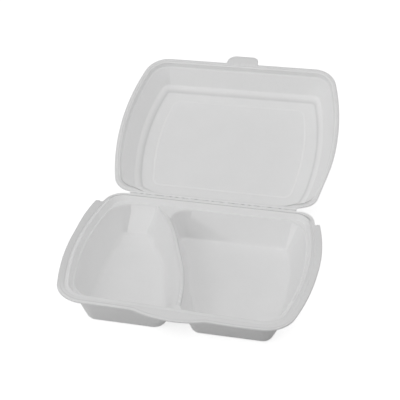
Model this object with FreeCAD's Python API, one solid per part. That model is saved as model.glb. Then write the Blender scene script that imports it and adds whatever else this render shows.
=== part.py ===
import FreeCAD, Part
import math
import os
from FreeCAD import Vector

# Two-compartment foam food box, pressed from one sheet of white foam.
# The tray stands on the table at z = 0 and the lid is open behind it.
# X runs along the hinge, Y from the front tongue to the hinge, Z up.

# Plan of the rim: straight front and back, bowed ends, round corners
rim_half_width = 115.7
rim_half_depth = 89.0
end_bow_radius = 263.0
end_bow_middle_y = 3.5
front_corner_radius = 25.9
back_corner_radius = 20.6
smallest_corner_radius = 4.0

# Foam thickness: the tray is pressed thicker than the lid
tray_floor_thickness = 2.8
tray_wall_side = 1.8
flange_thickness = 2.4
lid_thickness = 1.8
lid_wall_side = 1.0
edge_round = 0.6

# Tray: wide flange, groove, sealing ridge and the slope down to the shoulder
wide_flange = 4.8
wide_flange_end_y = 70.6
notch_radius = 1.3
groove_outer_inset = 1.4
groove_inner_inset = 4.1
groove_slope = 0.6
groove_depth = 0.7
ridge_outer_inset = 4.5
ridge_inner_inset = 6.3
ridge_height = 0.8
ridge_round = 0.4
shoulder_inset = 10.0
shoulder_depth = 4.5
neck_inset = 5.0

# Tray compartments: depth below the rim, and the plan at shoulder and floor
floor_depth = 34.5
top_inset = 10.8
floor_inset = 19.3
floor_end_inset = 25.4
outer_corner_top_radius = 26.0
outer_corner_floor_radius = 5.0
lip_round = 1.2

# Curved divider: each face is an arc about a centre far to the left
crest_centre_x = -289.6
crest_centre_y = -94.3
crest_left_radius = 292.2
crest_width = 4.5
left_foot_centre_x = -298.0
left_foot_centre_y = -59.7
left_foot_radius = 276.6
right_foot_centre_x = -677.0
right_foot_centre_y = -191.0
right_foot_radius = 700.0
left_back_top_radius = 5.0
left_back_floor_radius = 11.0
right_back_top_radius = 16.0
right_back_floor_radius = 4.0
divider_front_radius = 7.0

# Round between wall and floor, in flat steps that follow a quarter circle
floor_round_inside = 3.0
floor_round_outside = 4.0
round_steps = 3

# Front tongue of the tray
tongue_reach = 7.3
tongue_radius = 60.0
tongue_blend_radius = 25.0

# Lid: flange, steep skirt, shelf, sloped wall, ledge, step and top panel
lid_flange_inset = 3.6
skirt_inset = 5.6
skirt_height = 10.6
shelf_inset = 7.6
shelf_height = 11.4
wall_inset = 18.2
wall_height = 26.8
ledge_inset = 20.4
ledge_height = 27.3
panel_inset = 24.0
panel_height = 30.8
panel_field_inset = 34.0
panel_field_end_inset = 41.5
panel_field_depth = 0.5
panel_field_radius = 8.0

# Opening tab at the lid's front edge
tab_half_width = 17.0
tab_length = 10.3
tab_radius = 7.0
tab_root = 6.0

# Hinge: two coined strips that meet at the fold line
hinge_half_length = 86.0
hinge_strip = 2.0
hinge_thickness = 0.9
fold_clearance = 0.3
closing_clearance = 0.3
lid_opening_deg = 155.5

# Derived places
rim_height = floor_depth + tray_floor_thickness
fold_y = rim_half_depth + hinge_strip
end_bow_centre_x = rim_half_width - end_bow_radius
crest_centre = Vector(crest_centre_x, crest_centre_y, 0)
left_foot_centre = Vector(left_foot_centre_x, left_foot_centre_y, 0)
right_foot_centre = Vector(right_foot_centre_x, right_foot_centre_y, 0)


def arc_edge(centre, radius, start_angle, end_angle, z):
    """Arc about a centre in a level plane, between two angles in radians."""
    points = []
    for angle in (start_angle, (start_angle + end_angle) / 2, end_angle):
        x = centre.x + radius * math.cos(angle)
        y = centre.y + radius * math.sin(angle)
        points.append(Vector(x, y, z))
    return Part.Arc(*points).toShape()


def angle_to(centre, point):
    """Direction in radians from a centre to a point, in plan."""
    return math.atan2(point.y - centre.y, point.x - centre.x)


def nearest_turn(angle, reference):
    """The same direction as angle, less than half a turn from reference."""
    while angle - reference > math.pi:
        angle -= 2 * math.pi
    while angle - reference < -math.pi:
        angle += 2 * math.pi
    return angle


def side_corner(line_y, inward, circle, radius, x_sign):
    """Round corner between the line y = line_y and a circular side.

    circle is (centre, radius, keep_inside). inward is +1 where the shape
    lies above the line. The corner's centre is radius from the line and
    stands off the side's centre by the side's radius less or plus radius.
    """
    centre, side_radius, keep_inside = circle
    reach = side_radius - radius if keep_inside else side_radius + radius
    corner_y = line_y + inward * radius
    corner_x = centre.x + x_sign * math.sqrt(reach ** 2 - (corner_y - centre.y) ** 2)
    corner = Vector(corner_x, corner_y, 0)
    on_line = Vector(corner_x, line_y, 0)
    toward = (corner - centre).normalize()
    on_side = centre + toward * side_radius
    return corner, on_line, on_side


def four_sided_wire(front_y, back_y, left, right, radii, z):
    """Closed wire: straight front and back, circular left and right sides.

    left and right are (centre, radius, keep_inside, x_sign). radii are those
    of the front right, back right, back left and front left corners.
    """
    corners = []
    plan = ((front_y, 1, right), (back_y, -1, right), (back_y, -1, left), (front_y, 1, left))
    for (line_y, inward, side), radius in zip(plan, radii):
        corners.append(side_corner(line_y, inward, side[:3], radius, side[3]) + (radius,))
    front_right, back_right, back_left, front_left = corners

    def corner_arc(corner, start, end):
        centre, radius = corner[0], corner[3]
        start_angle = angle_to(centre, start)
        end_angle = nearest_turn(angle_to(centre, end), start_angle)
        return arc_edge(centre, radius, start_angle, end_angle, z)

    def side_arc(side, start, end):
        start_angle = angle_to(side[0], start)
        end_angle = nearest_turn(angle_to(side[0], end), start_angle)
        return arc_edge(side[0], side[1], start_angle, end_angle, z)

    def line(start, end):
        lift = Vector(0, 0, z)
        return Part.LineSegment(start + lift, end + lift).toShape()

    edges = [
        line(front_left[1], front_right[1]),
        corner_arc(front_right, front_right[1], front_right[2]),
        side_arc(right, front_right[2], back_right[2]),
        corner_arc(back_right, back_right[2], back_right[1]),
        line(back_right[1], back_left[1]),
        corner_arc(back_left, back_left[1], back_left[2]),
        side_arc(left, back_left[2], front_left[2]),
        corner_arc(front_left, front_left[2], front_left[1]),
    ]
    return Part.Wire(edges)


def bowed_end(inset, x_sign):
    """Left (-1) or right (+1) end of the box, moved in by inset."""
    centre = Vector(x_sign * end_bow_centre_x, end_bow_middle_y, 0)
    return (centre, end_bow_radius - inset, True, x_sign)


def rim_wire(inset, z, corner_radius=None, end_inset=None):
    """Outline of the rim moved in by inset, at height z."""
    front = max(front_corner_radius - inset, smallest_corner_radius)
    back = max(back_corner_radius - inset, smallest_corner_radius)
    if corner_radius is not None:
        front = corner_radius
        back = corner_radius
    end = inset if end_inset is None else end_inset
    edge_y = rim_half_depth - inset
    sides = bowed_end(end, -1), bowed_end(end, 1)
    return four_sided_wire(-edge_y, edge_y, *sides, (front, back, back, front), z)


def loft(wires):
    """Closed solid with straight-sided faces through a stack of wires."""
    return Part.makeLoft(wires, True, True)


def left_compartment_wire(level, grow, z):
    """Plan of the left compartment at the shoulder or the floor."""
    if level == "top":
        edge_y = rim_half_depth - top_inset + grow
        end = bowed_end(top_inset - grow, -1)
        divider = (crest_centre, crest_left_radius + grow, True, 1)
        outer, back_right = outer_corner_top_radius, left_back_top_radius
    else:
        edge_y = rim_half_depth - floor_inset + grow
        end = bowed_end(floor_end_inset - grow, -1)
        divider = (left_foot_centre, left_foot_radius + grow, True, 1)
        outer, back_right = outer_corner_floor_radius, left_back_floor_radius
    radii = (divider_front_radius, back_right, outer, outer)
    radii = [radius + grow for radius in radii]
    return four_sided_wire(-edge_y, edge_y, end, divider, radii, z)


def right_compartment_wire(level, grow, z):
    """Plan of the right compartment at the shoulder or the floor."""
    if level == "top":
        edge_y = rim_half_depth - top_inset + grow
        end = bowed_end(top_inset - grow, 1)
        crest_right_radius = crest_left_radius + crest_width
        divider = (crest_centre, crest_right_radius - grow, False, 1)
        outer, back_left = outer_corner_top_radius, right_back_top_radius
    else:
        edge_y = rim_half_depth - floor_inset + grow
        end = bowed_end(floor_end_inset - grow, 1)
        divider = (right_foot_centre, right_foot_radius - grow, False, 1)
        outer, back_left = outer_corner_floor_radius, right_back_floor_radius
    radii = (outer, outer, back_left, divider_front_radius)
    radii = [radius + grow for radius in radii]
    return four_sided_wire(-edge_y, edge_y, divider, end, radii, z)


def rounded_foot(wire_at, grow, floor_z, size):
    """Wires from wall to floor that step round a quarter circle of that size."""
    wires = []
    for step in range(round_steps + 1):
        angle = step / round_steps * math.pi / 2
        inward = size * (1 - math.cos(angle))
        height = size * (1 - math.sin(angle))
        wires.append(wire_at("floor", grow - inward, floor_z + height))
    return wires


def compartment_cut(wire_at):
    """Room inside one compartment, from the shoulder down to its floor."""
    shoulder_z = rim_height - shoulder_depth
    floor_z = rim_height - floor_depth
    wires = [
        wire_at("top", lip_round, shoulder_z),
        wire_at("top", 0, shoulder_z - lip_round),
    ]
    wires += rounded_foot(wire_at, floor_round_inside / 2, floor_z, floor_round_inside)
    return loft(wires)


def compartment_foot(wire_at):
    """Outside of one compartment: its walls and the foot that it stands on."""
    top_z = rim_height - shoulder_depth - tray_floor_thickness
    side = tray_wall_side
    wires = [wire_at("top", side, top_z)]
    wires += rounded_foot(wire_at, side + floor_round_inside / 2, 0, floor_round_outside)
    return loft(wires)


def plate(grow, top_z, thickness):
    """Rim-shaped plate with both edges eased by edge_round."""
    bottom_z = top_z - thickness
    return loft([
        rim_wire(edge_round - grow, bottom_z),
        rim_wire(-grow, bottom_z + edge_round),
        rim_wire(-grow, top_z - edge_round),
        rim_wire(edge_round - grow, top_z),
    ])


def tray_flange():
    """Wide flange at the front and ends, narrow flange along the hinge."""
    wide = plate(wide_flange, rim_height, flange_thickness)
    reach = 2 * rim_half_width
    behind = Part.makeBox(2 * reach, reach, reach, Vector(-reach, wide_flange_end_y, 0))
    flange = wide.cut(behind).fuse(plate(0, rim_height, flange_thickness))
    rise = wide_flange_end_y - end_bow_middle_y
    edge_x = end_bow_centre_x + math.sqrt(end_bow_radius ** 2 - rise ** 2)
    for side in (-1, 1):
        notch_x = side * (edge_x + notch_radius)
        spot = Vector(notch_x, wide_flange_end_y, rim_height - 2 * flange_thickness)
        flange = flange.cut(Part.makeCylinder(notch_radius, 3 * flange_thickness, spot))
    return flange


def tongue():
    """Smooth bulge of the front flange, to lift the tray by."""
    front_y = -(rim_half_depth + wide_flange)
    bottom_z = rim_height - flange_thickness
    centre = Vector(0, front_y - tongue_reach + tongue_radius, 0)
    blend_y = front_y - tongue_blend_radius
    span = tongue_radius + tongue_blend_radius
    blend_x = math.sqrt(span ** 2 - (centre.y - blend_y) ** 2)
    share = tongue_radius / span
    meet = Vector(blend_x * share, centre.y + (blend_y - centre.y) * share, 0)
    right = Vector(blend_x, blend_y, 0)
    left = Vector(-blend_x, blend_y, 0)
    right_angle = angle_to(right, meet)
    outer_angle = angle_to(centre, meet)
    inner_y = -rim_half_depth
    corner = [Vector(blend_x, front_y, bottom_z), Vector(blend_x, inner_y, bottom_z)]
    corner += [Vector(-blend_x, inner_y, bottom_z), Vector(-blend_x, front_y, bottom_z)]
    edges = [Part.LineSegment(a, b).toShape() for a, b in zip(corner[:-1], corner[1:])]
    edges += [
        arc_edge(left, tongue_blend_radius, math.pi / 2, math.pi - right_angle, bottom_z),
        arc_edge(centre, tongue_radius, -math.pi - outer_angle, outer_angle, bottom_z),
        arc_edge(right, tongue_blend_radius, right_angle, math.pi / 2, bottom_z),
    ]
    return Part.Face(Part.Wire(edges)).extrude(Vector(0, 0, flange_thickness))


def hinge_half():
    """Coined strip from the rim to the fold line, in the closed position."""
    length = hinge_strip - fold_clearance + edge_round
    spot = Vector(-hinge_half_length, rim_half_depth - edge_round, 0)
    return Part.makeBox(2 * hinge_half_length, length, hinge_thickness, spot)


def rim_groove():
    """Shallow ring pressed into the flange, outside the sealing ridge."""
    top_z = rim_height
    bottom_z = rim_height - groove_depth
    outer = loft([
        rim_wire(groove_outer_inset + groove_slope, bottom_z),
        rim_wire(groove_outer_inset, top_z),
    ])
    inner = loft([
        rim_wire(groove_inner_inset - groove_slope, bottom_z),
        rim_wire(groove_inner_inset, top_z),
    ])
    return outer.cut(inner)


def make_tray():
    """Tray: flange, ridge, neck and two feet, less the room inside."""
    top_z = rim_height
    ridge_z = top_z + ridge_height
    underside_z = top_z - shoulder_depth - tray_floor_thickness
    ridge = loft([
        rim_wire(ridge_outer_inset, top_z),
        rim_wire(ridge_outer_inset + ridge_round, ridge_z - ridge_round),
        rim_wire(ridge_outer_inset + 2 * ridge_round, ridge_z),
    ])
    neck = loft([
        rim_wire(shoulder_inset - tray_wall_side, underside_z, outer_corner_top_radius),
        rim_wire(neck_inset, top_z - flange_thickness),
    ])
    strip = hinge_half()
    strip.translate(Vector(0, 0, top_z - hinge_thickness))
    body = tray_flange().fuse([tongue(), ridge, neck, strip])
    body = body.fuse([compartment_foot(left_compartment_wire),
                      compartment_foot(right_compartment_wire)])
    shoulder_z = top_z - shoulder_depth
    recess = loft([
        rim_wire(shoulder_inset, shoulder_z, outer_corner_top_radius),
        rim_wire(ridge_inner_inset + 2 * ridge_round, top_z - ridge_round),
        rim_wire(ridge_inner_inset, ridge_z - ridge_round),
        rim_wire(ridge_inner_inset - ridge_round, ridge_z + ridge_round),
    ])
    body = body.cut([recess, compartment_cut(left_compartment_wire),
                     compartment_cut(right_compartment_wire), rim_groove()])
    return body.removeSplitter()


def lid_profile():
    """(inset, height) of the lid's inner surface, from flange to panel."""
    return [
        (lid_flange_inset, 0),
        (skirt_inset, skirt_height),
        (shelf_inset, shelf_height),
        (wall_inset, wall_height),
        (ledge_inset, ledge_height),
        (panel_inset, panel_height),
    ]


def tab():
    """Round-cornered opening tab at the lid's front edge."""
    front_y = -rim_half_depth - tab_length
    width = 2 * tab_half_width
    length = tab_length + tab_root
    block = Part.makeBox(width, length, lid_thickness, Vector(-tab_half_width, front_y, 0))
    upright = []
    for edge in block.Edges:
        start, end = edge.Vertexes[0].Point, edge.Vertexes[-1].Point
        if abs(start.z - end.z) > lid_thickness / 2 and start.y < front_y + tab_length / 2:
            upright.append(edge)
    return block.makeFillet(tab_radius, upright)


def make_lid():
    """Lid, modelled closed on the rim plane z = 0 and then swung open."""
    profile = lid_profile()
    outer_wires = [rim_wire(inset - lid_wall_side, height + lid_thickness)
                   for inset, height in profile]
    inner_wires = [rim_wire(lid_flange_inset - edge_round, -edge_round)]
    inner_wires += [rim_wire(inset, height) for inset, height in profile]
    strip = hinge_half()
    body = plate(0, lid_thickness, lid_thickness)
    body = body.fuse([loft(outer_wires), tab(), strip])
    body = body.cut(loft(inner_wires))
    field = loft([
        rim_wire(panel_field_inset, panel_height, panel_field_radius, panel_field_end_inset),
        rim_wire(panel_field_inset + panel_field_depth, panel_height + panel_field_depth,
                 panel_field_radius, panel_field_end_inset + panel_field_depth),
    ])
    body = body.cut(field).removeSplitter()
    body.translate(Vector(0, 0, rim_height + closing_clearance))
    body.rotate(Vector(0, fold_y, rim_height), Vector(1, 0, 0), -lid_opening_deg)
    return body


os.makedirs("parts", exist_ok=True)
for name, shape in (("tray", make_tray()), ("lid", make_lid())):
    shape.exportStep("parts/" + name + ".step")
    solids = len(shape.Solids)
    box = shape.BoundBox
    print(name, "solids", solids, "valid", shape.isValid(), "volume", round(shape.Volume))
    print("  x", round(box.XMin, 1), round(box.XMax, 1), "y", round(box.YMin, 1),
          round(box.YMax, 1), "z", round(box.ZMin, 1), round(box.ZMax, 1))
    centre = shape.Solids[0].CenterOfMass
    print("  centre of mass", round(centre.x, 1), round(centre.y, 1), round(centre.z, 1))
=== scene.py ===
# %% [markdown]
# # A foam food box with a hinged lid
#
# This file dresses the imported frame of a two-compartment takeaway box. The box
# is pressed from one sheet of white foam: a tray with a curved divider, a lid
# with a stepped wall, and a crushed fold between them. Every surface is worked
# out with numpy and put into a mesh, and one foam finish covers them all.
# Lengths are in millimetres until a mesh is made, where they become metres.

# %% Load the frame
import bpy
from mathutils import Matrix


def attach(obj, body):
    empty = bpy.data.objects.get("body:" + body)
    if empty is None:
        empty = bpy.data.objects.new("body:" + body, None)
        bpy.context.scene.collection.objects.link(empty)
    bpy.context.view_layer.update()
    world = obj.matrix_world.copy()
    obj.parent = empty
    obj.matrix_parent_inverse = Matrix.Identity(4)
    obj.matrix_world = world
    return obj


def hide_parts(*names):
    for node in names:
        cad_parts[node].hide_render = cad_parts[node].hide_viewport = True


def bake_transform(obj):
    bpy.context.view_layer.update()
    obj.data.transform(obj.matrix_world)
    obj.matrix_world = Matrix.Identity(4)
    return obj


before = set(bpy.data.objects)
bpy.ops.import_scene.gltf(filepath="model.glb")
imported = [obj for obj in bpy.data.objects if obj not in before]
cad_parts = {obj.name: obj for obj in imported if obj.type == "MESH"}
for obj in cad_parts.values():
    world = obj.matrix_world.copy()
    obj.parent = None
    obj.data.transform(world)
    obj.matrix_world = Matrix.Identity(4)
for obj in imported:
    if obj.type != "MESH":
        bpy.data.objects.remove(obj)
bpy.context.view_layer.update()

import math

import bmesh
import bpy
import numpy as np
from mathutils import Matrix, Vector

MM = 0.001

# %% [markdown]
# ## Plan of the rim
#
# Seen from above the rim has a straight front and back, bowed ends and round
# corners. Every line on the box that runs parallel to the rim is the same
# outline moved inwards, so one function gives them all. It takes the places
# along each of the eight stretches as shares from 0 to 1, and because each
# ring has the same shares, rings can be joined point to point into a grid.

# %% Sizes of the rim
half_width, half_depth = 115.7, 89.0
end_radius, end_middle_y = 263.0, 3.5
front_corner, back_corner, least_corner = 25.9, 20.6, 4.0
rim_height = 37.3
fold_y = 91.0
lid_open_angle = math.radians(155.5)


def whole_turns_off(start, end):
    """End angle less or plus whole turns, so that it is within half a turn of start."""
    return start + (end - start + np.pi) % (2 * np.pi) - np.pi


def round_corner(line_y, inward, side, radius):
    """Corner between the line y = line_y and a circular side, for each ring.

    The corner's centre is radius inside the line, and its distance from the
    side's centre is the side's radius less its own, or plus it where the
    outline runs outside the side's circle. Pythagoras gives its x.
    """
    (centre_x, centre_y), side_radius, inside, x_sign = side
    reach = side_radius - radius if inside else side_radius + radius
    y = line_y + inward * radius
    x = centre_x + x_sign * np.sqrt(reach ** 2 - (y - centre_y) ** 2)
    centre = np.stack([x, y], -1)
    away = (centre - [centre_x, centre_y]) / reach[:, None]
    on_side = [centre_x, centre_y] + away * side_radius[:, None]
    return centre, np.stack([x, line_y + 0 * x], -1), on_side, radius


def straight(start, end, shares):
    """Points from start towards end: start + share * (end - start)."""
    return start[:, None] + (end - start)[:, None] * shares[None, :, None]


def arc(centre, radius, start, end, shares):
    """Points round centre from start towards end: centre + radius * (cos, sin)."""
    first = np.arctan2(*(start - centre).T[::-1])
    last = whole_turns_off(first, np.arctan2(*(end - centre).T[::-1]))
    angle = first[:, None] + (last - first)[:, None] * shares
    return centre[:, None] + radius[:, None, None] * np.stack([np.cos(angle), np.sin(angle)], -1)


def outline(front_y, back_y, left, right, radii, shares):
    """Rings with straight front and back and circular sides, as (ring, point, xy).

    They run from the front left, along the front, up the right side, along
    the back and down the left side. radii are those of the front right, back
    right, back left and front left corners.
    """
    plan = ((front_y, 1, right), (back_y, -1, right), (back_y, -1, left), (front_y, 1, left))
    front_right, back_right, back_left, front_left = (
        round_corner(*place, radius) for place, radius in zip(plan, radii))

    def side_arc(side, start, end, share):
        centre = np.broadcast_to(np.array(side[0], float), start.shape)
        return arc(centre, side[1], start, end, share)

    return np.concatenate([
        straight(front_left[1], front_right[1], shares[0]),
        arc(front_right[0], front_right[3], front_right[1], front_right[2], shares[1]),
        side_arc(right, front_right[2], back_right[2], shares[2]),
        arc(back_right[0], back_right[3], back_right[2], back_right[1], shares[3]),
        straight(back_right[1], back_left[1], shares[4]),
        arc(back_left[0], back_left[3], back_left[1], back_left[2], shares[5]),
        side_arc(left, back_left[2], front_left[2], shares[6]),
        arc(front_left[0], front_left[3], front_left[2], front_left[1], shares[7]),
    ], axis=1)


def bowed_end(inset, x_sign):
    """Left or right end of the rim, moved in by inset."""
    return (x_sign * (half_width - end_radius), end_middle_y), end_radius - inset, True, x_sign


def rim_rings(insets, shares, end_insets=None, corner=None):
    """The rim's outline moved in by each inset, as (ring, point, xy)."""
    insets = np.atleast_1d(np.asarray(insets, float))
    ends = insets if end_insets is None else np.atleast_1d(np.asarray(end_insets, float))
    front = np.maximum(front_corner - insets, least_corner)
    back = np.maximum(back_corner - insets, least_corner)
    if corner is not None:
        front = back = np.full_like(insets, corner)
    edge = half_depth - insets
    return outline(-edge, edge, bowed_end(ends, -1), bowed_end(ends, 1),
                   (front, back, back, front), shares)


# %% [markdown]
# ## Places round the rim
#
# The divider meets the rim at one place on the front and one on the back.
# Both compartments and the rim share their points there, so the rim has a
# point exactly at each of the two places and a few close ones beside them.
# Points also crowd at the little notch on each end, where the wide flange
# of the tray stops short of the hinge.

# %% Shares round the rim
crest_centre = np.array([-289.6, -94.3])
crest_left_radius, crest_width = 292.2, 4.5
crest_middle_radius = crest_left_radius + crest_width / 2
shoulder_inset = 9.4
meet_reach = 9.0
near_count, crest_near_count, crest_count = 8, 8, 180
corner_count = 26


def shares_to(count, end=1.0, start=0.0):
    """Count even shares from start up to but not including end."""
    return np.linspace(start, end, count, endpoint=False)


def crest_x(y):
    """Where the middle of the divider's crest is at y: it is an arc, so Pythagoras again."""
    return crest_centre[0] + np.sqrt(crest_middle_radius ** 2 - (y - crest_centre[1]) ** 2)


def end_x(y, radius=end_radius):
    """x of the rim's right end at y, or of another circle round the same centre."""
    return half_width - end_radius + np.sqrt(radius ** 2 - (y - end_middle_y) ** 2)


front_x = float(end_x(front_corner - half_depth, end_radius - front_corner))
back_x = float(end_x(half_depth - back_corner, end_radius - back_corner))
meet_y = half_depth - shoulder_inset
meet_front, meet_back = float(crest_x(-meet_y)), float(crest_x(meet_y))
front_left_count, front_right_count, back_right_count, back_left_count = 30, 27, 50, 10


def places(first, meet, last, reach, counts):
    """Places from first to last: even ones, and closer ones within reach of meet."""
    return np.concatenate([
        shares_to(counts[0], meet - reach, first), shares_to(near_count, meet, meet - reach),
        shares_to(near_count + 1, meet + reach, meet), shares_to(counts[1], last, meet + reach)])


front_places = places(-front_x, meet_front, front_x, meet_reach,
                      (front_left_count, front_right_count))
back_places = places(back_x, meet_back, -back_x, -meet_reach,
                     (back_right_count, back_left_count))

notch_y, notch_radius, wide_flange = 70.6, 1.3, 4.8
notch_rows = np.array([64.5, 65.5, 66.3, 66.9, 67.4, 67.8, 68.1, 68.4, 68.7, 69.0, 69.4, 69.9,
                       70.7, 71.4])
side_first = math.asin((-(half_depth - front_corner) - end_middle_y) / (end_radius - front_corner))
side_last = math.asin(((half_depth - back_corner) - end_middle_y) / (end_radius - back_corner))
notch_shares = (np.arcsin((notch_rows - end_middle_y) / end_radius) - side_first) / (
    side_last - side_first)
side_count = 40
side_shares = np.concatenate([
    shares_to(side_count, notch_shares[0]), notch_shares, [0.985, 0.992, 1.0]])
right_shares, left_shares = side_shares[:-1], (1 - side_shares[::-1])[:-1]
corner_shares = shares_to(corner_count)
rim_shares = ((front_places + front_x) / (2 * front_x), corner_shares, right_shares, corner_shares,
              (back_x - back_places) / (2 * back_x), corner_shares, left_shares, corner_shares)
rim_starts = np.cumsum([0] + [len(s) for s in rim_shares])


def stretch(index):
    """The points of one of the rim's eight stretches."""
    return slice(rim_starts[index], rim_starts[index + 1])


front_meet_index = front_left_count + near_count
back_meet_index = rim_starts[4] + back_right_count + near_count

# %% [markdown]
# ## Soft profiles and closed shells
#
# Pressed foam has no sharp edges. A profile is written as a few corners, each
# with the length that its rounding takes, and a short curve replaces each
# corner. Patches of rings become quads, their shared borders are merged, and
# a closed shell's faces are then turned outwards.

# %% Profile and mesh helpers
def unit(ways):
    """The same ways with a length of 1."""
    return ways / np.linalg.norm(ways, axis=-1, keepdims=True)


def curve(start, middle, end, t):
    """Quadratic curve from start to end, drawn towards middle: t runs from 0 to 1."""
    return (1 - t) ** 2 * start + 2 * t * (1 - t) * middle + t ** 2 * end


def soften(corners, steps=5):
    """Rounds (x, y, cut) corners: each curve starts and ends cut away from its corner."""
    corners = np.asarray(corners, float)
    place, cut = corners[:, :2], corners[1:-1, 2:]
    middle = place[1:-1]
    start, end = (middle + unit(beside - middle) * cut for beside in (place[:-2], place[2:]))
    t = np.linspace(0, 1, steps)[None, :, None]
    rounded = curve(start[:, None], middle[:, None], end[:, None], t)
    return np.concatenate([place[:1], rounded.reshape(-1, 2), place[-1:]])


def at_height(rings, heights):
    """Rings of xy points with a height for each ring, as (ring, point, xyz)."""
    heights = np.broadcast_to(np.asarray(heights, float)[:, None, None], (*rings.shape[:2], 1))
    return np.concatenate([rings, heights], -1)


def shrunk(ring, shares=(0.8, 0.5, 0.2)):
    """Smaller copies of a ring about its own middle."""
    middle = ring.mean(0)
    return middle + (ring - middle) * np.array(shares)[:, None, None]


def ring_faces(rows, columns):
    """Quads between neighbouring rings, with the last point joined to the first one."""
    ring = np.arange(rows * columns).reshape(rows, columns)
    beside = np.roll(ring, -1, axis=1)
    return np.stack([ring[:-1], beside[:-1], beside[1:], ring[1:]], -1).reshape(-1, 4)


def fan_faces(rows, columns):
    """Triangles from the last ring to its middle, a point that comes after all the rings."""
    ring = (rows - 1) * columns + np.arange(columns)
    return np.stack([ring, np.roll(ring, -1), np.full(columns, rows * columns)], -1)


def outward_normals(ring):
    """Unit normals of a ring: the way from the point before to the next one, turned right."""
    along = np.roll(ring, -1, axis=-2) - np.roll(ring, 1, axis=-2)
    return unit(np.stack([along[..., 1], -along[..., 0]], -1))


def spread(values, rows, columns):
    """One value for each ring, or for each point of each ring, as a flat array."""
    values = np.asarray(values, float)
    values = values.reshape(-1, 1) if values.ndim < 2 else values
    return np.broadcast_to(values, (rows, columns)).ravel()


def grid_patch(rings, cut_edge=0.0, tone=0.0):
    """A patch of rings: its points, its quads, and each point's share of cut edge and painted
    light.

    The tone is painted light: above 0 it is painted shade, which greys the colour,
    and below 0 a painted highlight, which whitens it.
    """
    rows, columns = rings.shape[:2]
    mask = np.stack([spread(cut_edge, rows, columns), spread(tone, rows, columns)], -1)
    return rings.reshape(-1, 3), ring_faces(rows, columns), None, mask


def capped_patch(rings, tone=0.0):
    """A patch of rings whose last ring closes in a fan round its middle."""
    rows, columns = rings.shape[:2]
    points = np.concatenate([rings.reshape(-1, 3), rings[-1].mean(0, keepdims=True)])
    mask = np.zeros((len(points), 2))
    mask[:-1, 1] = spread(tone, rows, columns)
    return points, ring_faces(rows, columns), fan_faces(rows, columns), mask


def add_object(name, data):
    """A new object in the scene."""
    made = bpy.data.objects.new(name, data)
    bpy.context.scene.collection.objects.link(made)
    return made


def closed_shell(name, patches, merge=0.002 * MM):
    """Joins patches into one mesh in metres, merges their borders and turns faces outwards."""
    points, quads, fans, masks = zip(*patches)
    firsts = np.cumsum([0] + [len(patch_points) for patch_points in points])
    faces = [face for parts in (quads, fans) for part, first in zip(parts, firsts)
             if part is not None for face in (part + first).tolist()]
    mesh = bpy.data.meshes.new(name)
    mesh.from_pydata((np.concatenate(points) * MM).tolist(), [], faces)
    masks = np.concatenate(masks).astype(np.float32)
    # The second attribute holds the painted shade and painted highlights
    for place, attribute in enumerate(("cut_edge", "painted_light")):
        mesh.attributes.new(attribute, "FLOAT", "POINT").data.foreach_set(
            "value", np.ascontiguousarray(masks[:, place]))
    work = bmesh.new()
    work.from_mesh(mesh)
    bmesh.ops.remove_doubles(work, verts=work.verts, dist=merge)
    bmesh.ops.dissolve_degenerate(work, edges=work.edges, dist=merge)
    bmesh.ops.recalc_face_normals(work, faces=work.faces)
    open_edges = sum(not edge.is_manifold for edge in work.edges)
    triangles = sum(len(face.verts) - 2 for face in work.faces)
    volume = work.calc_volume() / MM ** 3 / 1000
    work.to_mesh(mesh)
    work.free()
    mesh.polygons.foreach_set("use_smooth", np.ones(len(mesh.polygons), bool))
    mesh.update()
    print(name, "triangles", triangles, "open edges", open_edges, "volume cm3", round(volume, 1))
    return add_object(name, mesh)


# %% [markdown]
# ## Edge of the sheet
#
# The sheet is cut with a die round its outside, so the box has one free edge
# all round. On the tray it is wide at the front and ends and narrow by the
# hinge, with a notch between the two, and it swells into a tongue in front.
# The edge is a ring of points at its full reach, with a quarter curve above
# and below it.

# %% Outer edge of the tray
flange_thickness, tray_edge_round = 2.0, 0.6
tongue_reach, tongue_radius, tongue_blend = 6.0, 92.0, 9.0


def tongue_bulge(x):
    """How far the front edge swells out at x: one round arc with a hollow arc at each side.

    The outer arc is part of a circle whose lowest point reaches tongue_reach
    past the edge. The hollow arcs touch both it and the straight edge.
    """
    drop = tongue_radius - tongue_reach
    blend_x = math.sqrt((tongue_radius + tongue_blend) ** 2 - (drop + tongue_blend) ** 2)
    meet = blend_x * tongue_radius / (tongue_radius + tongue_blend)
    x = np.abs(x)
    swell = np.sqrt(np.maximum(tongue_radius ** 2 - x ** 2, 0)) - drop
    hollow = tongue_blend - np.sqrt(np.maximum(tongue_blend ** 2 - (blend_x - x) ** 2, 0))
    return np.where(x < meet, swell, np.where(x < blend_x, hollow, 0))


# The die cut the wide flange a little off centre. For each stretch that bends
# little: the axis that its places are on, the places, and the reach at them
flange_reaches = {0: (0, (-85, -40, 20, 60, 82), (3.8, 3.1, 4.6, 4.9, 4.0)),
                  2: (1, (-63, -10, 25), (3.7, 3.9, wide_flange)),
                  6: (1, (-63, -10, 15, 45, 68), (4.5, 4.6, 4.7, 6.7, 7.7))}
corner_reaches = {1: (4.0, 3.7), 7: (4.6, 3.8)}
corner_swells = {5: 0.8, 3: 1.5}
notch_widening = 2.9


def flange_reach(rim):
    """How far the wide flange stands out past the rim at each of its points."""
    reach = np.full(len(rim), wide_flange)
    for index, (axis, at, reaches) in flange_reaches.items():
        reach[stretch(index)] = np.interp(rim[stretch(index), axis], at, reaches)
    for index, ends in corner_reaches.items():
        reach[stretch(index)] = np.linspace(*ends, corner_count)
    return reach


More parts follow.
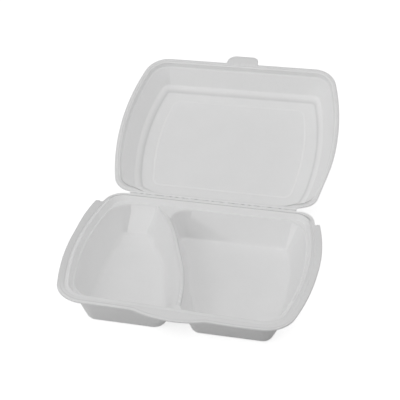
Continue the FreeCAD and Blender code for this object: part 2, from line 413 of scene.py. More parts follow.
def tray_edge():
    """Ring of the tray's outermost points, one for each point of the rim.

    Behind the notches it follows the rim, and swells a little at the two
    back corners. The notch of the left end is wider than the right one.
    """
    narrow = rim_rings([0.0], rim_shares)[0]
    out = outward_normals(narrow)
    edge = narrow + out * flange_reach(narrow)[:, None]
    edge[stretch(0), 1] -= tongue_bulge(edge[stretch(0), 0])
    swell = np.sin(np.pi * (np.arange(corner_count) / corner_count) ** 0.7)[:, None]
    for index, height in corner_swells.items():
        narrow[stretch(index)] += out[stretch(index)] * height * swell[::1 if index == 5 else -1]
    edge_x = end_x(notch_y)
    wide_rows, narrow_rows = np.array([68.6, 69.5, 70.2]), np.array([71.2, 71.9])
    bite = np.radians(np.linspace(0, -180, 7))
    notch = np.concatenate([
        np.stack([end_x(wide_rows, end_radius + wide_flange), wide_rows], -1),
        [[edge_x + wide_flange - 0.2, notch_y], [edge_x + 3.6, notch_y]],
        np.stack([edge_x + notch_radius * (1 + np.cos(bite)),
                  notch_y + notch_radius * np.sin(bite)], -1),
        np.stack([end_x(narrow_rows), narrow_rows], -1)])
    first = rim_starts[2] + side_count
    last = first + len(notch)
    left_first = rim_starts[7] - side_count - len(notch) + 1
    edge[first:last] = notch
    edge[last:left_first] = narrow[last:left_first]
    share = np.clip((notch[:, 0] - edge_x) / wide_flange, 0, 1)
    wider = notch + np.stack([notch_widening * share, 0 * share], -1)
    edge[left_first:left_first + len(notch)] = wider[::-1] * [-1, 1]
    return edge


tray_outer = tray_edge()

# %% [markdown]
# ## Rim of the tray
#
# From the edge inwards the top has a flat flange, a shallow groove, a sealing
# ridge that the lid's flange presses on, and a slope down to the shoulder
# where the compartments start. Underneath, the flange's flat underside runs
# in to the neck. Both sides are one profile carried round the rim's rings.

# %% Rim profiles of the tray
shoulder_depth, floor_thickness, floor_depth = 4.5, 2.8, 34.5
shoulder_z = rim_height - shoulder_depth
underside_z = shoulder_z - floor_thickness
flange_start, neck_inset = 1.0, 8.3
ridge_and_slope = [(6.0, 0.8, 0.35), (6.8, -0.3, 0.4), (9.0, -4.45, 0.4),
                   (shoulder_inset, -shoulder_depth, 0)]
top_profile = soften([
    (flange_start, 0, 0), (1.4, 0, 0.25), (2.1, -0.7, 0.3), (3.4, -0.7, 0.3), (4.1, 0.0, 0.2),
    (4.5, 0.05, 0.15), (5.1, 0.8, 0.35), *ridge_and_slope])
# Along the fold the groove is narrow and deep. Both profiles have the same number of corners
fold_profile = soften([
    (flange_start, 0, 0), (2.4, 0, 0.2), (3.1, -1.5, 0.2), (3.7, -1.5, 0.2), (4.3, 0.1, 0.2),
    (4.6, 0.5, 0.15), (5.1, 0.8, 0.25), *ridge_and_slope])
under_profile = soften([
    (flange_start, -flange_thickness, 0), (5.0, -flange_thickness, 1.0),
    (8.0, -shoulder_depth - floor_thickness + 0.1, 0.3),
    (neck_inset, -shoulder_depth - floor_thickness, 0)])


def profile_rings(profile, shares, base_z):
    """A profile of insets and heights carried round the rim."""
    return at_height(rim_rings(profile[:, 0], shares), base_z + profile[:, 1])


def edge_rings(edge, thickness, base_z, edge_round, steps=4):
    """Rings round the cut edge: half a turn from the underside to the top, in two curves."""
    turn = np.linspace(0, np.pi / 2, steps)
    pull = edge_round * (1 - np.cos(turn))
    rise = edge_round * np.sin(turn)
    inward = np.concatenate([pull[::-1], pull])
    height = np.concatenate([edge_round - rise[::-1], thickness - edge_round + rise])
    rings = edge[None] - outward_normals(edge)[None] * inward[:, None, None]
    return at_height(rings, base_z + height)


def flange_rings(start, end, z, count):
    """Flat rings between two rings, without either of them."""
    share = np.linspace(0, 1, count + 2)[1:-1, None, None]
    return at_height(start[:, :2] * (1 - share) + end[:, :2] * share, np.full(count, z))


rim_y = rim_rings([0.0], rim_shares)[0, :, 1]
near_fold, at_front = np.clip((rim_y - 76) / 12, 0, 1), np.clip((-rim_y - 66) / 18, 0, 1)
edge_band = edge_rings(tray_outer, flange_thickness, rim_height - flange_thickness,
                       tray_edge_round)
top_rings = ((1 - near_fold[:, None]) * profile_rings(top_profile, rim_shares, rim_height)
             + near_fold[:, None] * profile_rings(fold_profile, rim_shares, rim_height))
# In front the groove and the ridge keep about a third of their height
ridge_end, front_loss = 6.6, 0.65
top_rings[..., 2] -= np.where(top_profile[:, :1] < ridge_end,
                              front_loss * at_front * (top_rings[..., 2] - rim_height), 0)
under_rings = profile_rings(under_profile, rim_shares, rim_height)
under_flat_count, top_flat_count = 3, 7
rim_band = np.concatenate([
    under_rings[::-1],
    flange_rings(under_rings[0], edge_band[0], rim_height - flange_thickness, under_flat_count),
    edge_band,
    flange_rings(edge_band[-1], top_rings[0], rim_height, top_flat_count),
    top_rings])
edge_first = len(under_rings) + under_flat_count
top_first = len(rim_band) - len(top_rings)
flat_first = top_first - top_flat_count
rim_mask = np.zeros(len(rim_band))
rim_mask[edge_first:edge_first + len(edge_band)] = 1


def bump(value, centre, width):
    """1 at the centre and falling off on both sides: exp(-((value - centre) / width)^2)."""
    return np.exp(-((value - centre) / width) ** 2)


def painted_rim_lines(insets, *table):
    """Painted light that runs along the rim in lines, each given as (tone, inset, width): painted
    shade above 0, painted highlight below.
    """
    return sum(tone * bump(insets, inset, width) for tone, inset, width in table)


# Painted shade in the groove, and painted highlights on the lips beside the fold's groove
groove_painted_shade = painted_rim_lines(top_profile[:, :1], (0.35, 2.4, 0.7))
fold_painted_light = painted_rim_lines(fold_profile[:, :1], (3.0, 3.35, 0.6), (-0.35, 5.5, 0.7),
                       (-0.35, 1.4, 0.8))
rim_painted_light = np.zeros(rim_band.shape[:2])
rim_painted_light[top_first:] = groove_painted_shade * ((1 - at_front) * (1 - near_fold)) + fold_painted_light * near_fold
# In front a painted shade line runs close to the cut edge, closer on the right than on the left,
# with fainter painted shade inside it
front_line_painted_shade, line_width, front_inner_painted_shade = 0.8, 0.55, 0.25
from_edge = np.linalg.norm(rim_band[flat_first:, :, :2] - tray_outer, axis=-1)
line_place = np.interp(tray_outer[:, 0], (-60, 60), (2.9, 1.7))
rim_painted_light[flat_first:] += at_front * (front_line_painted_shade * bump(from_edge, line_place, line_width)
                                     + front_inner_painted_shade * (from_edge > line_place))
# Painted shade on the flange at the two ends, and a painted highlight on the slope inside the left
# one
end_rows = slice(top_first - 12, top_first + 8)
rim_painted_light[end_rows] += np.interp(tray_outer[:, 0], (-112, -98, 98, 112), (0.6, 0, 0, 0.3)) * (
    1 - at_front)
rim_painted_light[top_first:] += painted_rim_lines(top_profile[:, :1], (-0.35, 7.9, 1.0)) * np.clip(
    (-95 - tray_outer[:, 0]) / 10, 0, 1)

# %% [markdown]
# ## Compartments and divider
#
# Each compartment is a cup whose plan changes from the shoulder to the floor:
# wide round corners above, tight ones below, as a press tool needs. Its wall
# is straight between the two, with a soft lip above and a rounded foot below.
# The cup's first ring is half of the shoulder's ring plus the middle line of
# the divider's crest, so the two cups share the crest and close the tray.

# %% Plans of the compartments
top_inset, floor_inset, floor_end_inset = 10.8, 19.3, 25.4
divider = {
    "left": {"top": (crest_centre, crest_left_radius), "floor": ((-298.0, -59.7), 276.6)},
    "right": {"top": (crest_centre, crest_left_radius + crest_width),
              "floor": ((-677.0, -191.0), 700.0)}}
corner_sizes = {
    "left": {"top": (7.0, 5.0, 26.0, 26.0), "floor": (7.0, 11.0, 5.0, 5.0)},
    "right": {"top": (26.0, 26.0, 16.0, 7.0), "floor": (5.0, 5.0, 4.0, 7.0)}}


def second_half(count):
    """The half and count even shares between it and 1, without 1."""
    return 0.5 + 0.5 * np.arange(count + 1) / (count + 1)


near_half = shares_to(near_count, 0.5)
cup_shares = {
    "left": (shares_to(front_left_count),
             np.concatenate([near_half, second_half(crest_near_count)]),
             shares_to(crest_count),
             np.concatenate([shares_to(crest_near_count + 1, 0.5), second_half(near_count)]),
             shares_to(back_left_count), corner_shares, left_shares, corner_shares),
    "right": (shares_to(front_right_count), corner_shares, right_shares, corner_shares,
              shares_to(back_right_count),
              np.concatenate([near_half, second_half(crest_near_count + 1)]),
              shares_to(crest_count),
              np.concatenate([shares_to(crest_near_count, 0.5), second_half(near_count)]))}


def cup_plan(side, level, grow):
    """Outline of one compartment at the shoulder or the floor, moved outwards by grow."""
    edge = half_depth - (top_inset if level == "top" else floor_inset) + grow
    end_inset = (top_inset if level == "top" else floor_end_inset) - grow
    (centre, radius), one = divider[side][level], np.ones(1)
    if side == "left":
        sides = bowed_end(end_inset * one, -1), (centre, (radius + grow) * one, True, 1)
    else:
        sides = (centre, (radius - grow) * one, False, 1), bowed_end(end_inset * one, 1)
    radii = [(size + grow) * one for size in corner_sizes[side][level]]
    return outline(-edge * one, edge * one, *sides, radii, cup_shares[side])[0]


def crest_line():
    """Middle of the divider's crest, between its two ends and without them, front to back."""
    near = meet_reach / (2 * meet_y)
    share = np.concatenate([
        near * np.arange(1, crest_near_count + 1) / (crest_near_count + 1),
        shares_to(crest_count, 1 - near, near),
        shares_to(crest_near_count + 1, 1, 1 - near)])
    y = -meet_y + 2 * meet_y * share
    return np.stack([crest_x(y), y], -1)


def cup_border(side, rim_ring):
    """The cup's first ring: its half of the shoulder's ring and the crest's middle line."""
    crest = crest_line()
    if side == "left":
        return np.concatenate([rim_ring[:front_meet_index + 1], crest, rim_ring[back_meet_index:]])
    beside, rest = np.split(rim_ring[front_meet_index:back_meet_index + 1], [near_count + 1])
    return np.concatenate([rest, crest[::-1], beside])


def cup_rings(side, border, heights, grows, cuts, wall_steps=10, curve_steps=6):
    """Rings of a cup from its border to its floor.

    heights are those of the border and the floor, grows move the plans at
    the lip and the floor outwards, and cuts are the lengths that the lip's
    and the foot's rounding take. Each rounding is a quadratic curve.
    """
    lip_cut, foot_cut = cuts
    plans = np.stack([cup_plan(side, level, grow) for level, grow in zip(("top", "floor"), grows)])
    lip, foot = at_height(plans, heights)
    lip_out, foot_out = at_height(outward_normals(plans), (0, 0))
    wall = unit(lip - foot)
    t = np.linspace(0, 1, curve_steps)[:, None, None]
    lip_curve = curve(lip + lip_out * lip_cut, lip, lip - wall * lip_cut, t)
    foot_curve = curve(foot + wall * foot_cut, foot, foot - foot_out * foot_cut, t)
    share = np.linspace(0, 1, wall_steps + 2)[1:-1, None, None]
    straight_wall = lip_curve[-1] * (1 - share) + foot_curve[0] * share
    level = foot_curve[-1] - foot_out * 0.8
    return np.concatenate([at_height(border[None], heights[:1]), lip_curve, straight_wall,
                           foot_curve, level[None], shrunk(level, (0.85, 0.6, 0.3))])


def ease(value, start, end):
    """0 before start, 1 after end and 3t^2 - 2t^3 between them."""
    t = np.clip((value - start) / (end - start), 0, 1)
    return t * t * (3 - 2 * t)


def wall_painted_light(side, rings):
    """Painted light on a cup's wall: painted shade and painted highlights on its flat back and
    corners.

    The straight back of the left cup has a painted highlight and its corner beside
    it painted shade. In the right cup the corner by the divider has painted shade,
    the divider's painted shadow runs down across the back with a soft edge, and
    the other back corner has a painted highlight.
    """
    starts = np.cumsum([0] + [len(s) for s in cup_shares[side]])
    before, back, corner = (slice(starts[i], starts[i + 1]) for i in (3, 4, 5))
    corner_places = starts[6] - starts[5]
    painted_highlight_level = -0.35
    height = np.clip((rings[..., 2] - 3.5) / (shoulder_z - 5.5), 0, 1)
    tone = np.zeros(rings.shape[:2])
    if side == "left":
        # Left cup: painted shade in the corner beside the back, and a painted highlight on the
        # flat back
        tone[:, corner] = np.linspace(0.7, 0, corner_places) ** 1.3
        tone[:, starts[4] - 2:starts[5] + 6] = painted_highlight_level
    else:
        # Right cup: painted shade in the corner by the divider, the divider's painted shadow
        # across the back, and a painted highlight in the other back corner
        painted_shade_level = 0.45
        tone[:, corner] = np.linspace(painted_shade_level, 0.1, corner_places)
        foot_top = rings[-10]
        from_corner = foot_top[None, back, 0] - foot_top[starts[5] - 1, 0]
        divider_shadow = ease(0.78 - 0.018 * from_corner - height[:, back], -0.15, 0.15)
        tone[:, back] = painted_shade_level * divider_shadow * np.clip(1 - from_corner / 55, 0, 1)
        place = np.linspace(0, 1, starts[4] - starts[3])
        tone[:, before] = painted_highlight_level * ((place > 0.5) & (place < 0.76))
    return tone * ease(height, 0, 0.06) * (1 - ease(height, 0.97, 1.0))


def crest_painted_light(border, rows, share):
    """Painted light of a cup: a line of painted shade on the lip beside the crest, and small
    painted highlights in ripples along it.
    """
    x, y = border.T
    on_crest = (np.abs(x - crest_x(y)) < 0.01) & (np.abs(y) < meet_y - 6)
    ripple_highlight = np.maximum(np.sin(y / 0.9 + 2 * np.sin(y / 7)), 0) * (0.5 + 0.5 * np.sin(y / 11 + 1))
    tone = np.zeros((rows, len(border)))
    # The crest's edge has painted shade broken by painted highlights on the ripples, and the lip
    # below it has painted shade
    tone[0] = (0.3 - 0.9 * ripple_highlight) * on_crest
    tone[1:7] = share * np.outer([0.5, 1, 1, 1, 1, 0.5], on_crest)
    return tone


def skewed(points, rate):
    """Slides the front towards -Y on the right and towards +Y on the left.

    The slide is rate times x, in full at the front and none at the fold.
    """
    moved = points.copy()
    moved[:, 1] -= rate * points[:, 0] * np.clip((fold_y - points[:, 1]) / 180, 0, 1)
    return moved


def hill(points, middle, width):
    """1 at a middle in the plan, falling off as a Gaussian of that width on all sides."""
    return np.exp(-(((points[:, :2] - np.array(middle)) / width) ** 2).sum(1) / 2)


def handled(points):
    """Points of the tray after the press and some handling, which leave it a little uneven.

    The rim is skewed by a few hundredths, its left corners are pushed out by
    about a millimetre, the middle of the crest by more, and the two feet
    stand a few millimetres off the plan of the press tool.
    """
    x, y, z = points.T
    rim, low = ease(z, 16, 32), 1 - ease(z, 3, 28)
    foot, back = low * ease(-y, 5, 62), low * ease(y, 12, 58)
    moved = skewed(points, 0.03 * rim)
    moved[:, 0] += (
        foot * np.interp(x, (-92, -60, -22, 12, 85), (-3.0, 1.0, 5.8, 4.0, 3.8))
        + back * np.interp(x, (-92, -62, -42, -8, 14, 70), (-3.5, -5, -5.5, 5, 4, 0))
        - 0.6 * rim * hill(points, (-105, -85), 22.0) - 1.2 * hill(points, (-108, 72), 24.0)
        - 2.4 * rim * hill(points, (-8, 18), (14.0, 24.0)))
    moved[:, 1] += 2.2 * foot - back * np.interp(x, (-80, -40, 10), (4.0, 1.5, 1.0))
    return moved


# %% Mesh of the tray
inner_border, under_border = (rim_rings([inset], rim_shares)[0]
                              for inset in (shoulder_inset, neck_inset))
tray_patches = [grid_patch(rim_band, rim_mask, rim_painted_light)]
for side, crest_shade_strength in (("left", 0.4), ("right", 0.9)):
    border = cup_border(side, inner_border)
    inner = cup_rings(side, border, (shoulder_z, rim_height - floor_depth), (0.35, 0.7),
                      (0.8, 3.2))
    outer = cup_rings(side, cup_border(side, under_border), (underside_z, 0.0), (1.8, 2.2),
                      (0.35, 4.0))
    # Painted shade on the outside of the right cup at its front, more towards the end
    outer_painted_shade = np.interp(outer[..., 0], (10, 40, 90), (0, 0.3, 0.8)) * (
        1 - ease(outer[..., 1], -64, -20))
    tray_patches += [capped_patch(inner, crest_painted_light(border, len(inner), crest_shade_strength)
                                  + wall_painted_light(side, inner)),
                     capped_patch(outer, outer_painted_shade)]
tray_shell = closed_shell(
    "tray_shell", [(handled(points), *rest) for points, *rest in tray_patches])

# %% [markdown]
# ## Lid
#
# The lid's inside steps from its flange up a steep skirt to a narrow shelf,
# up a sloped wall to a ledge, and over a last step to the panel, which has a
# faint raised field. It is worked out closed, over the tray, and then swung
# open about the fold.

# %% Rings of the lid
flange_sheet, lid_edge_round, closing_gap = 1.3, 0.5, 0.3
lid_base = rim_height + closing_gap
panel_height = 30.8
tab_half_width, tab_length, tab_radii, tab_share = 17.0, 10.3, (8.5, 6.0), 0.16
inside_profile = soften([
    (2.0, 0, 0), (3.2, 0, 0.1), (3.75, 1.1, 0.2), (4.7, 1.3, 0.3), (5.6, 6.0, 0.6),
    (6.9, 7.0, 0.8), (16.8, 25.2, 1.0), (20.4, 27.3, 0.8), (24.0, panel_height, 1.2),
    (27.0, panel_height, 0)])
outside_profile = soften([
    (1.9, flange_sheet, 0), (2.7, flange_sheet, 0.5), (3.7, 7.6, 1.0), (5.6, 8.8, 1.2),
    (17.2, 28.6, 1.8), (19.4, 29.1, 1.4), (23.0, 32.6, 2.2), (27.0, 32.6, 0)])
beside_tab_count, tab_count = 24, 72
tab_start, tab_end = 0.5 - tab_share, 0.5 + tab_share
lid_front_shares = np.concatenate([
    shares_to(beside_tab_count, tab_start), shares_to(tab_count, tab_end, tab_start),
    shares_to(beside_tab_count, 1, tab_end)])
lid_shares = (lid_front_shares, corner_shares, shares_to(50), corner_shares,
              shares_to(80), corner_shares, shares_to(50), corner_shares)


def tab_line(count):
    """Edge of the tab from left to right, as even steps along its length.

    It goes out along one side, round a corner, across and back, with a small
    hollow curve where each side leaves the lid's edge. The left corner is
    rounder than the right one.
    """
    reach, root = half_depth + tab_length, 1.6
    turn = np.linspace(0, np.pi / 2, 16)
    hollow = np.stack([-tab_half_width - root * (1 - np.sin(turn)),
                       -half_depth - root * (1 - np.cos(turn))], -1)
    start = [[-2 * front_x * tab_share, -half_depth]]
    left, right = (
        np.concatenate([start, hollow, np.stack([
            -tab_half_width + 1.15 * radius * (1 - np.cos(turn)),
            -reach + radius * (1 - np.sin(turn))], -1)]) for radius in tab_radii)
    line = np.concatenate([left, (right * [-1, 1])[::-1]])
    length = np.concatenate([[0], np.cumsum(np.linalg.norm(np.diff(line, axis=0), axis=1))])
    even = np.linspace(0, length[-1], count, endpoint=False)
    return np.stack([np.interp(even, length, axis) for axis in line.T], -1)


def swing_open(points):
    """Turns points of the closed lid about the fold by the angle that it stands open."""
    y, z = points[..., 1] - fold_y, points[..., 2] - rim_height
    cos, sin = math.cos(-lid_open_angle), math.sin(-lid_open_angle)
    return np.stack([points[..., 0], fold_y + y * cos - z * sin,
                     rim_height + y * sin + z * cos], -1)


lid_outer = rim_rings([0.0], lid_shares)[0]
lid_outer[beside_tab_count:beside_tab_count + tab_count] = tab_line(tab_count)
trimmed = 1.2 * hill(lid_outer, (112, 60), 16.0) + 1.4 * hill(lid_outer, (93, 89), 6.0)
lid_outer -= outward_normals(lid_outer) * trimmed[:, None]
lid_edge = edge_rings(lid_outer, flange_sheet, lid_base, lid_edge_round)


def tucked(profile, kept_inset):
    """Rings of the lid's profile, drawn in by up to 2.8 mm at the two corners beside the fold.

    Rings up to kept_inset stay where they are.
    """
    corner = hill(np.stack([np.abs(lid_outer[:, 0]), lid_outer[:, 1]], -1), (94, 82), 12.0)
    share = np.clip((profile[:, 0] - kept_inset) / 0.5, 0, 1)[:, None] * corner
    rings = profile_rings(profile, lid_shares, lid_base)
    rings[..., :2] -= 2.8 * share[..., None] * outward_normals(lid_outer)
    return rings


inside_rings, outside_rings = tucked(inside_profile, 3.4), tucked(outside_profile, 1.9)
field_inset, field_end_inset, field_radius, field_depth = 34.0, 36.5, 8.0, 0.5
field_steps = np.array([-1.0, -0.4, 0.2, 0.8, 1.4])
field_rings = at_height(
    rim_rings(field_inset + field_steps, lid_shares, field_end_inset + field_steps, field_radius),
    lid_base + panel_height + field_depth * np.array([0, 0.24, 0.76, 1, 1]))
lid_inside = np.concatenate([inside_rings, field_rings, shrunk(field_rings[-1])])
lid_outside = np.concatenate([outside_rings, shrunk(outside_rings[-1])])
edge_ring_band = np.concatenate([
    inside_rings[:1], flange_rings(lid_edge[0], inside_rings[0], lid_base, 2)[::-1], lid_edge,
    flange_rings(lid_edge[-1], outside_rings[0], lid_base + flange_sheet, 2), outside_rings[:1]])
edge_mask = np.zeros(len(edge_ring_band))
edge_mask[3:3 + len(lid_edge)] = 1


def swung(patch):
    """A patch of the closed lid, skewed like the tray's rim and swung open.

    Along the fold its flange is three millimetres narrower than elsewhere, and
    the wall there is steeper, so the panel reaches four millimetres nearer.
    """
    points, quads, fan, mask = patch
    moved = skewed(points, 0.015)
    from_middle = np.abs(points[:, 0])
    near = 1 - ease(from_middle, 72, 86)
    moved[:, 1] += near * np.interp(points[:, 1], (75, 84.4, 86.3, 89), (0, 3.0, 1.6, 0))
    deep = ease(points[:, 2] - lid_base, 8, 24) * (1 - ease(from_middle, 66, 88))
    moved[:, 1] += deep * np.interp(points[:, 1], (30, 62, 72, 83), (0, 4.0, 4.0, 0))
    return swing_open(moved), quads, fan, mask


insets = inside_profile[:, :1]
fold_side = ease(inside_rings[0, :, 1], 66, 86)
lid_painted_light = np.zeros(lid_inside.shape[:2])
step_painted_light, field_painted_highlight = lid_painted_light[:len(inside_rings)], lid_painted_light[len(inside_rings):]
# Painted highlights on the lips of the shelf, wall and ledge, and painted shade in the last step
# to the panel; along the fold a strong painted shade line on the skirt, elsewhere a fainter one
# with a painted highlight just outside it
step_painted_light += painted_rim_lines(insets, (-0.35, 6.9, 0.7), (-0.35, 17.4, 1.2), (-0.2, 19.5, 1.5),
                         (0.7, 22.8, 1.0))
step_painted_light += fold_side * painted_rim_lines(insets, (2.6, 4.3, 0.5))
step_painted_light += (1 - fold_side) * painted_rim_lines(insets, (0.25, 5.1, 0.5), (-0.35, 4.2, 0.4))
# Painted shade on the wall towards the end of the front left corner, which is the last stretch
step_painted_light[:, -corner_count:] += painted_rim_lines(insets, (0.5, 13.0, 5.0)) * (
    np.linspace(0, 1, corner_count) ** 2)
# Painted highlight on the border of the panel's raised field, fainter towards the front of the
# closed lid
field_painted_highlight[1:4] -= np.interp(field_rings[0, :, 1], (-60, -30, 40), (0.1, 0.3, 0.35))
lid_shell = closed_shell("lid_shell", [
    swung(capped_patch(lid_inside, lid_painted_light)), swung(capped_patch(lid_outside)),
    # The band round the lid's cut edge carries painted shade of 0.25
    swung(grid_patch(edge_ring_band, edge_mask, 0.25))])

# %% [markdown]
# ## Crushed fold
#
# Between tray and lid the sheet is crushed thin along a crease, and the foam
# there wrinkles. The strip is one closed ribbon. Its inner line wanders and
# its depth changes along the hinge, and painted shade along the crease, with
# painted highlights on its lips, gives the broken dark line that such a fold
# shows. It bends between the two bodies.

# %% Fold strip
fold_half_length, fold_count, fold_thickness = 86.0, 420, 0.9
fold_x = np.linspace(-fold_half_length, fold_half_length, fold_count)


def wave(x, length, phase, wander=0.0, wander_length=37.0):
    """A sine along x whose phase drifts slowly, so that it never quite repeats."""
    return np.sin(2 * np.pi * x / length + phase + wander * np.sin(2 * np.pi * x / wander_length))


wrinkle = 0.6 * wave(fold_x, 9.4, 0.4, 1.6) + 0.4 * wave(fold_x, 5.3, 1.1, 1.2, 23.0)
wrinkle_side = 0.6 * wave(fold_x, 7.1, 2.0, 1.4, 29.0) + 0.4 * wave(fold_x, 3.9, 0.2, 1.0, 17.0)
crease_depth = 0.5 + 0.2 * wrinkle
crease_shift = 0.3 * wave(fold_x, 9.4, 1.9, 1.6)
# Across the fold, from the tray: distance from the crease, depth, share of the crease
half_across = [(-2.9, 0.5, 0), (-2.3, 0.12, 0), (-1.8, 0.02, 0), (-1.2, 0.0, 0),
               (-0.7, 0.06, 0.1), (-0.35, 0.14, 0.6)]
fold_across = np.array(half_across + [(0.0, 0.18, 1.0)]
                       + [(-distance, *rest) for distance, *rest in half_across[::-1]])
place, depth, crease_share = fold_across.T[..., None]


def fold_section(distance, depth):
    """Points on the tray's side stay level, and those past the crease swing with the lid."""
    x = fold_x + 0 * distance
    tray_side = np.stack([x, fold_y + distance, rim_height - depth], -1)
    closed = np.stack([x, fold_y - distance,
                       rim_height + closing_gap * np.clip(distance / 1.2, 0, 1) + depth], -1)
    return np.where((distance > 0)[..., None], swing_open(closed), tray_side)


across = place + crease_shift * crease_share
side_bump = 0.07 * wrinkle_side * bump(np.abs(place), 1.4, 0.5)
upper = fold_section(across, depth + crease_depth * crease_share + side_bump)
lower = fold_section(place + 0 * across, depth + fold_thickness + 0 * across)
# Painted shade along the crease, stronger or weaker with the wrinkles, and painted highlights on
# the lips on either side
crease_painted_light = bump(place, 0, 0.6) * (1.1 + 0.9 * wrinkle) - 0.35 * bump(np.abs(place), 1.5, 0.5)
ribbon_painted_light = np.concatenate([crease_painted_light, 0 * across]).T
ribbon = np.concatenate([upper, lower[::-1]]).transpose(1, 0, 2)
points, quads, _, mask = grid_patch(ribbon, 0.0, ribbon_painted_light)
step = np.arange(len(fold_across) - 1)
opposite = ribbon.shape[1] - 1 - step
first_end = np.stack([step, step + 1, opposite - 1, opposite], -1)
last_end = first_end + (fold_count - 1) * ribbon.shape[1]
hinge_fold = closed_shell("hinge_fold", [
    (points, np.concatenate([quads, first_end, last_end]), None, mask)])

# %% [markdown]
# ## Foam finish
#
# The sheet is foamed plastic with a smooth pressed skin. Close up it shows
# the outlines of its cells, a fine grain and slow changes in brightness, and
# a cut edge shows the open cells. One node group makes all of that from
# Object coordinates, adds the painted shade and painted highlights stored on
# the meshes, and each material gives it its own values.

# %% Foam node group
def add_node(tree, kind, inputs=(), **settings):
    """A new shader node. inputs pairs its sockets with values or with other nodes' sockets."""
    made = tree.nodes.new("ShaderNode" + kind)
    for name, value in settings.items():
        setattr(made, name, value)
    for socket, value in inputs:
        if isinstance(value, bpy.types.NodeSocket):
            tree.links.new(value, made.inputs[socket])
        else:
            made.inputs[socket].default_value = value
    return made


def worked_out(tree, operation, *values):
    """Result of a Math node."""
    return add_node(tree, "Math", enumerate(values), operation=operation).outputs[0]


def foam_group():
    """Cells, grain and cloudiness of pressed foam, and the painted shade and highlights, as a
    colour, a roughness and a normal.
    """
    group = bpy.data.node_groups.new("pressed_foam", "ShaderNodeTree")
    for name, kind, value in (
            ("Colour", "Color", (0.8, 0.8, 0.8, 1)), ("Cell size", "Float", 1.1),
            ("Cell depth", "Float", 0.02), ("Cloud", "Float", 0.02), ("Roughness", "Float", 0.5),
            ("Cut edge", "Float", 0.0), ("Painted light", "Float", 0.0)):
        group.interface.new_socket(name=name, in_out="INPUT",
                                   socket_type="NodeSocket" + kind).default_value = value
    for name, kind in (("Colour", "Color"), ("Roughness", "Float"), ("Normal", "Vector")):
        group.interface.new_socket(name=name, in_out="OUTPUT", socket_type="NodeSocket" + kind)
    start = group.nodes.new("NodeGroupInput").outputs
    end = group.nodes.new("NodeGroupOutput").inputs
    # press carries the painted light: painted shade above 0 and painted highlights below 0
    cut, press = start["Cut edge"], start["Painted light"]

    def node(kind, *inputs, **settings):
        return add_node(group, kind, inputs, **settings).outputs

    def total(value, *parts):
        """value plus each part's socket times its factor."""
        for socket, factor in parts:
            value = worked_out(group, "MULTIPLY_ADD", socket, factor, value)
        return value

    def centred(socket, middle):
        return worked_out(group, "SUBTRACT", socket, middle)

    place = ("Vector", group.nodes.new("ShaderNodeTexCoord").outputs["Object"])
    scale = worked_out(group, "DIVIDE", 1000.0, start["Cell size"])
    bead_scale = worked_out(group, "MULTIPLY", scale, 0.37)
    cells = node("TexVoronoi", place, ("Scale", scale), feature="DISTANCE_TO_EDGE")["Distance"]
    beads = node("TexVoronoi", place, ("Scale", bead_scale), feature="F1")["Distance"]
    grain, cloud = (node("TexNoise", place, ("Scale", noise_scale), ("Detail", 3.0))["Fac"]
                    for noise_scale in (2600.0, 38.0))
    walls = node("MapRange", ("Value", cells), ("From Max", 0.12))[0]
    depth = worked_out(group, "MULTIPLY", start["Cell depth"], total(1.0, (cut, 2.5)))
    normal = node("Bump", ("Strength", 1.0),
                  ("Distance", worked_out(group, "MULTIPLY", depth, MM)),
                  ("Height", total(0.0, (walls, 0.55), (grain, 0.5), (beads, 0.35))))["Normal"]
    # Shade of the colour: random cloudiness, bead outlines, a little grey on cut edges, and the
    # painted light, which greys painted shade and whitens painted highlights
    shade = total(1.0, (centred(cloud, 0.5), start["Cloud"]), (centred(beads, 0.4), -0.012),
                  (cut, -0.02), (press, -0.2))
    whitest = worked_out(group, "MINIMUM", shade, 1.06)
    colour = node("VectorMath", (0, start["Colour"]), ("Scale", whitest), operation="SCALE")
    rough = total(start["Roughness"], (centred(grain, 0.5), 0.12), (cut, 0.2))
    for name, socket in (("Colour", colour["Vector"]), ("Roughness", rough), ("Normal", normal)):
        group.links.new(socket, end[name])
    return group


foam = foam_group()


def foam_material(name, colour, cell_size, cell_depth, cloud, roughness):
    """A foam finish: the shared group feeds a Principled BSDF of its own."""
    material = bpy.data.materials.new(name)
    material.use_nodes = True
    tree = material.node_tree
    shader = tree.nodes["Principled BSDF"].inputs
    shader["IOR"].default_value, shader["Specular IOR Level"].default_value = 1.45, 0.35
    # The cut edge and the painted light are read from the mesh attributes
    stored = [(socket, add_node(tree, "Attribute", attribute_name=attribute).outputs["Fac"])
              for attribute, socket in (("cut_edge", "Cut edge"), ("painted_light", "Painted light"))]
    group = add_node(tree, "Group", [
        ("Colour", (*colour, 1)), ("Cell size", cell_size), ("Cell depth", cell_depth),
        ("Cloud", cloud), ("Roughness", roughness), *stored], node_tree=foam)
    for output, socket in (("Colour", "Base Color"), ("Roughness", "Roughness"),
                           ("Normal", "Normal")):
        tree.links.new(group.outputs[output], shader[socket])
    return material


foam_white = (0.93, 0.93, 0.93)
tray_foam = foam_material("tray_foam", foam_white, 1.3, 0.02, 0.035, 0.52)
lid_foam = foam_material("lid_foam", foam_white, 1.0, 0.018, 0.035, 0.5)
fold_foam = foam_material("crushed_foam", foam_white, 0.8, 0.03, 0.05, 0.45)

for piece, material, body, node in ((tray_shell, tray_foam, "tray", "tray"),
                                    (lid_shell, lid_foam, "lid", "lid")):
    piece.data.materials.append(material)
    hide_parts(node)
    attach(piece, body)
hinge_fold.data.materials.append(fold_foam)
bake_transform(hinge_fold)

# %% [markdown]
# ## Floor, light and camera
#
# The photograph has a pure white ground and soft light from above and in
# front. The floor takes the soft shadow. The camera, and rays that a shiny or
# clear surface sends on, also see a little light of its own, which brings it
# to white.

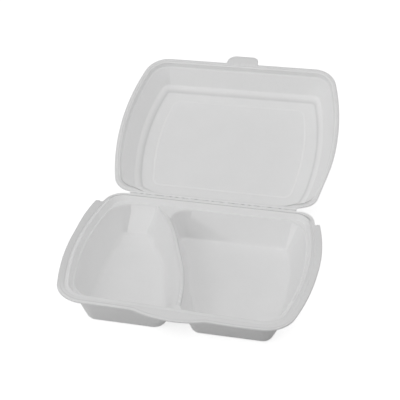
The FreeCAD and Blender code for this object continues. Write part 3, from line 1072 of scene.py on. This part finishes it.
# %% Stage
reach = 3.0
floor_mesh = bpy.data.meshes.new("floor")
floor_mesh.from_pydata([(-reach, -reach, 0), (reach, -reach, 0), (reach, reach, 0),
                        (-reach, reach, 0)], [], [(0, 1, 2, 3)])
floor = add_object("floor", floor_mesh)
floor.location.z = -0.0002


def direct_rays(tree):
    """1 for rays from the camera and for rays that a shiny or clear surface sends on, else 0."""
    seen = tree.nodes.new("ShaderNodeLightPath").outputs
    sent_on = worked_out(tree, "MAXIMUM", seen["Is Glossy Ray"], seen["Is Transmission Ray"])
    return worked_out(tree, "MAXIMUM", seen["Is Camera Ray"], sent_on)


def bare_tree(owner):
    """The node tree of a material or world, with nothing in it."""
    owner.use_nodes = True
    owner.node_tree.nodes.clear()
    return owner.node_tree


ground = bpy.data.materials.new("ground")
tree = bare_tree(ground)
diffuse = add_node(tree, "BsdfDiffuse", [("Color", (0.6, 0.6, 0.6, 1))])
glow = add_node(tree, "Emission", [
    ("Strength", worked_out(tree, "MULTIPLY", direct_rays(tree), 0.75))])
both = add_node(tree, "AddShader", [(0, diffuse.outputs[0]), (1, glow.outputs[0])])
add_node(tree, "OutputMaterial", [("Surface", both.outputs[0])])
floor_mesh.materials.append(ground)

world = bpy.data.worlds.new("soft_sky")
bpy.context.scene.world = world
tree = bare_tree(world)
sky, white = (add_node(tree, "Background", [("Color", (1, 1, 1, 1)), ("Strength", strength)])
              for strength in (0.43, 1.0))
mix = add_node(tree, "MixShader", [
    ("Fac", direct_rays(tree)), (1, sky.outputs[0]), (2, white.outputs[0])])
add_node(tree, "OutputWorld", [("Surface", mix.outputs[0])])


def way_to(azimuth, elevation):
    """Unit vector towards an azimuth and elevation in degrees, with azimuth 0 in front."""
    azimuth, elevation = math.radians(azimuth), math.radians(elevation)
    return Vector((math.sin(azimuth) * math.cos(elevation),
                   -math.cos(azimuth) * math.cos(elevation), math.sin(elevation)))


lamp_distance, lamp_target = 1.6, Vector((0, 0.08, 0.04))
for name, azimuth, elevation, size, power in (
        ("key", -40, 40, 0.5, 2.3), ("low", -40, 15, 0.9, 2.3),
        ("left", -100, 65, 0.9, 1.1), ("right", 60, 65, 0.9, 3.3)):
    lamp = bpy.data.lights.new(name, "AREA")
    lamp.size, lamp.energy = size, power
    holder = add_object(name, lamp)
    back = way_to(azimuth, elevation)
    holder.location = lamp_target + back * lamp_distance
    holder.rotation_euler = back.to_track_quat("Z", "Y").to_euler()

# %% Camera
def photo_camera():
    """The camera that the photograph's outlines fit: it looks at a target on the rim's plane."""
    roll, distance, focal, principal, image = (
        math.radians(-0.81), 1036.16, 1046.6, (206.5, 215.38), 400)
    back = way_to(12.61, 34.14)
    target = Vector((0, 64.82, rim_height))
    right = (-back).cross(Vector((0, 0, 1))).normalized()
    up = right.cross(-back)
    turned_right = right * math.cos(roll) + up * math.sin(roll)
    turned_up = -right * math.sin(roll) + up * math.cos(roll)
    camera = bpy.data.cameras.new("camera")
    camera.sensor_width = 36
    camera.lens = focal / image * camera.sensor_width
    camera.shift_x = (image / 2 - principal[0]) / image
    camera.shift_y = (principal[1] - image / 2) / image
    camera.clip_start, camera.clip_end = 0.05, 20
    holder = add_object("camera", camera)
    turn = Matrix((turned_right, turned_up, back)).transposed().to_4x4()
    holder.matrix_world = Matrix.Translation((target + back * distance) * MM) @ turn
    return holder


bpy.context.scene.camera = photo_camera()
bpy.context.scene.view_settings.view_transform = "Standard"
